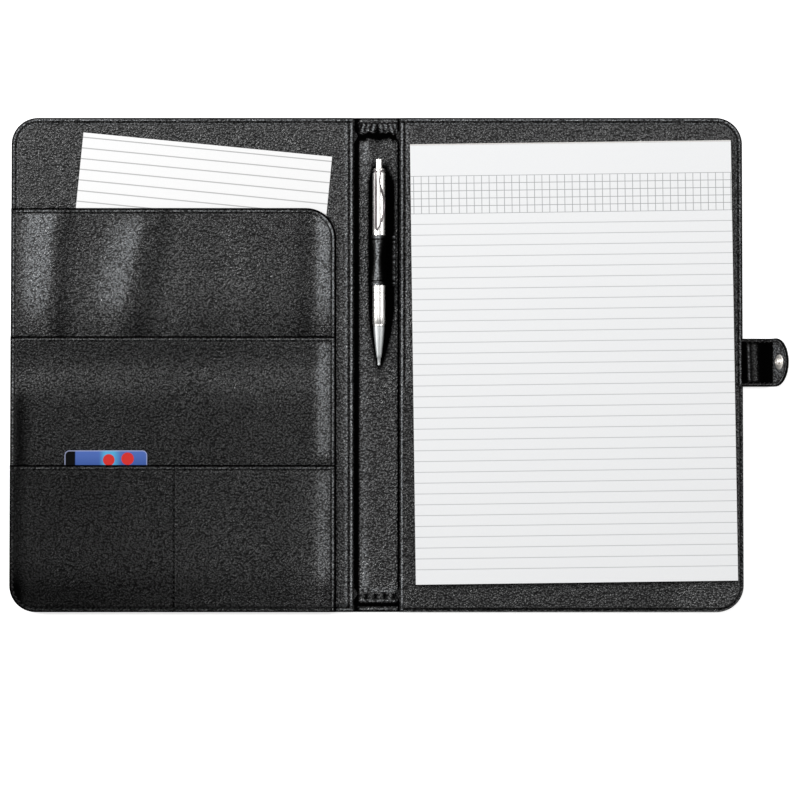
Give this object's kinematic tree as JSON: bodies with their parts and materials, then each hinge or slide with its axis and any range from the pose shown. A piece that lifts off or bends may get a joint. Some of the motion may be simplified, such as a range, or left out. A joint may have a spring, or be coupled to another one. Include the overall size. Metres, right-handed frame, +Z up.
{
  "type": "document folder",
  "caption": "Open black leather document folder with pockets on the left, a click pen in the spine's loop, a ruled writing pad on the right and a snap tab.",
  "frame": {"origin": "middle of the spine's underside, on the table", "axes": "+X towards the closing tab, +Y towards the head of the pad, +Z up from the table"},
  "size_m": [0.5081, 0.3244, 0.0211],
  "materials": {
    "outer_leather": "pebbled, satin",
    "lining_leather": "pebbled, soft sheen",
    "stiffening_board": "matt grey board",
    "white_paper": "matt, ruled",
    "grey_card": "matt",
    "head_glue": "padding glue",
    "card_plastic": "printed, glossy",
    "pen_metal": "polished",
    "cone_metal": "satin",
    "refill_plastic": "translucent",
    "spring_steel": "drawn wire",
    "snap_metal": "nickelled"
  },
  "bodies": {
    "back_cover": {"back_skin": "outer_leather", "back_board": "stiffening_board", "back_lining": "lining_leather", "pad_flap": "lining_leather"},
    "spine": {"spine_skin": "outer_leather", "spine_lining": "lining_leather", "pen_loop": "outer_leather"},
    "front_cover": {"front_skin": "outer_leather", "front_board": "stiffening_board", "front_lining": "lining_leather", "document_pocket": "lining_leather", "middle_pocket": "lining_leather", "card_pocket": "lining_leather", "snap_socket": "snap_metal", "socket_washer": "snap_metal"},
    "tab": {"tab_strap_outer": "outer_leather", "tab_strap_inner": "lining_leather"},
    "tab_end": {"tab_end_inner": "lining_leather", "tab_end_outer": "outer_leather", "snap_stud": "snap_metal", "snap_cap": "snap_metal"},
    "pad": {"pad_backing": "grey_card", "pad_sheets": "white_paper", "pad_binding": "head_glue"},
    "top_sheet": {"pad_top_sheet": "white_paper"},
    "loose_sheet": {"loose_sheet": "white_paper"},
    "card": {"plastic_card": "card_plastic"},
    "pen": {"pen_upper_barrel": "pen_metal", "pen_joint_ring": "pen_metal", "pen_lower_barrel": "pen_metal", "pen_nose_cone": "cone_metal", "pen_spring": "spring_steel"},
    "plunger": {"pen_plunger": "pen_metal"},
    "refill": {"pen_refill": "refill_plastic"},
    "clip": {"pen_clip": "pen_metal"}
  },
  "joints": [
    {"name": "spine_fold", "type": "hinge", "parent": "back_cover", "child": "spine", "pos_m": [0.01515, 0, 0.0017], "axis": [0, 1, 0], "range_deg": [0, 90]},
    {"name": "front_fold", "type": "hinge", "parent": "spine", "child": "front_cover", "pos_m": [-0.01515, 0, 0.0017], "axis": [0, 1, 0], "range_deg": [0, 93.6]},
    {"name": "tab_bend", "type": "hinge", "parent": "back_cover", "child": "tab", "pos_m": [0.24035, 0.001, 0.0025], "axis": [0, -1, 0], "range_deg": [0, 90]},
    {"name": "tab_end_bend", "type": "hinge", "parent": "tab", "child": "tab_end", "pos_m": [0.25828, 0.001, 0.0025], "axis": [0, -1, 0], "range_deg": [-66, 20.4], "stiffness_Nm_per_rad": 0.02},
    {"name": "pad_slide", "type": "slide", "parent": "back_cover", "child": "pad", "axis": [-0.0131, 0.9999, 0], "range_m": [0, 0.29]},
    {"name": "top_sheet_flip", "type": "hinge", "parent": "pad", "child": "top_sheet", "pos_m": [0.12683, 0.14429, 0.00945], "axis": [-0.9999, -0.0131, 0], "range_deg": [0, 170]},
    {"name": "sheet_slide", "type": "slide", "parent": "front_cover", "child": "loose_sheet", "axis": [0.0976, 0.9952, 0], "range_m": [0, 0.2]},
    {"name": "card_slide", "type": "slide", "parent": "front_cover", "child": "card", "axis": [0, 1, 0], "range_m": [0, 0.08]},
    {"name": "pen_slide", "type": "slide", "parent": "spine", "child": "pen", "axis": [0, 1, 0], "range_m": [0, 0.09]},
    {"name": "pen_click", "type": "slide", "parent": "pen", "child": "plunger", "axis": [0, -1, 0], "range_m": [0, 0.005], "stiffness_N_per_m": 300},
    {"name": "refill_feed", "type": "slide", "parent": "pen", "child": "refill", "axis": [0, -1, 0], "range_m": [0, 0.005], "deforming": ["pen_spring"]},
    {"name": "clip_flex", "type": "hinge", "parent": "pen", "child": "clip", "pos_m": [0.0015, 0.1263, 0.00725], "axis": [-1, 0, 0], "range_deg": [0, 3], "stiffness_Nm_per_rad": 0.5}
  ],
  "couplings": [
    {"joint": "refill_feed", "follows": "pen_click", "ratio": 1}
  ]
}
